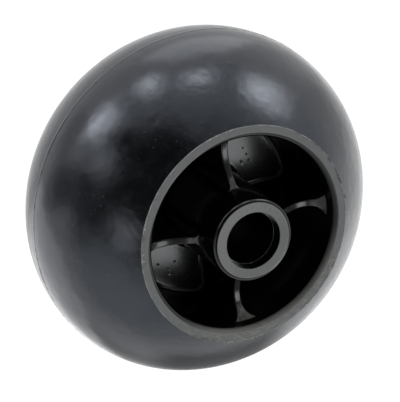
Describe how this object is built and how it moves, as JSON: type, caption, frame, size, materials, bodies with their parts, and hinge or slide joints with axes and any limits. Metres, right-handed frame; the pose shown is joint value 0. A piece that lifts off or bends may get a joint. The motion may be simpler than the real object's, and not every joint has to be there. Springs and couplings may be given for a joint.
{
  "type": "lawn mower deck wheel",
  "caption": "Mower deck gauge wheel: thick smooth ball-like black tyre moulded round a plastic hub with a projecting bored tube, blended spokes and blind pockets on both sides.",
  "frame": {"origin": "centre of the wheel: on the axle's axis, in the plane of the tyre's mould seam", "axes": "+Z along the axle, +X and +Y through the middle of the pockets between the spokes"},
  "size_m": [0.127, 0.127, 0.0888],
  "materials": {
    "hub_plastic": "black moulding, glossy inside, scuffed on the hub end and rim face",
    "tyre_rubber": "dark grey smooth rubber, satin"
  },
  "bodies": {
    "root": {"hub": "hub_plastic", "tyre": "tyre_rubber"}
  },
  "joints": []
}
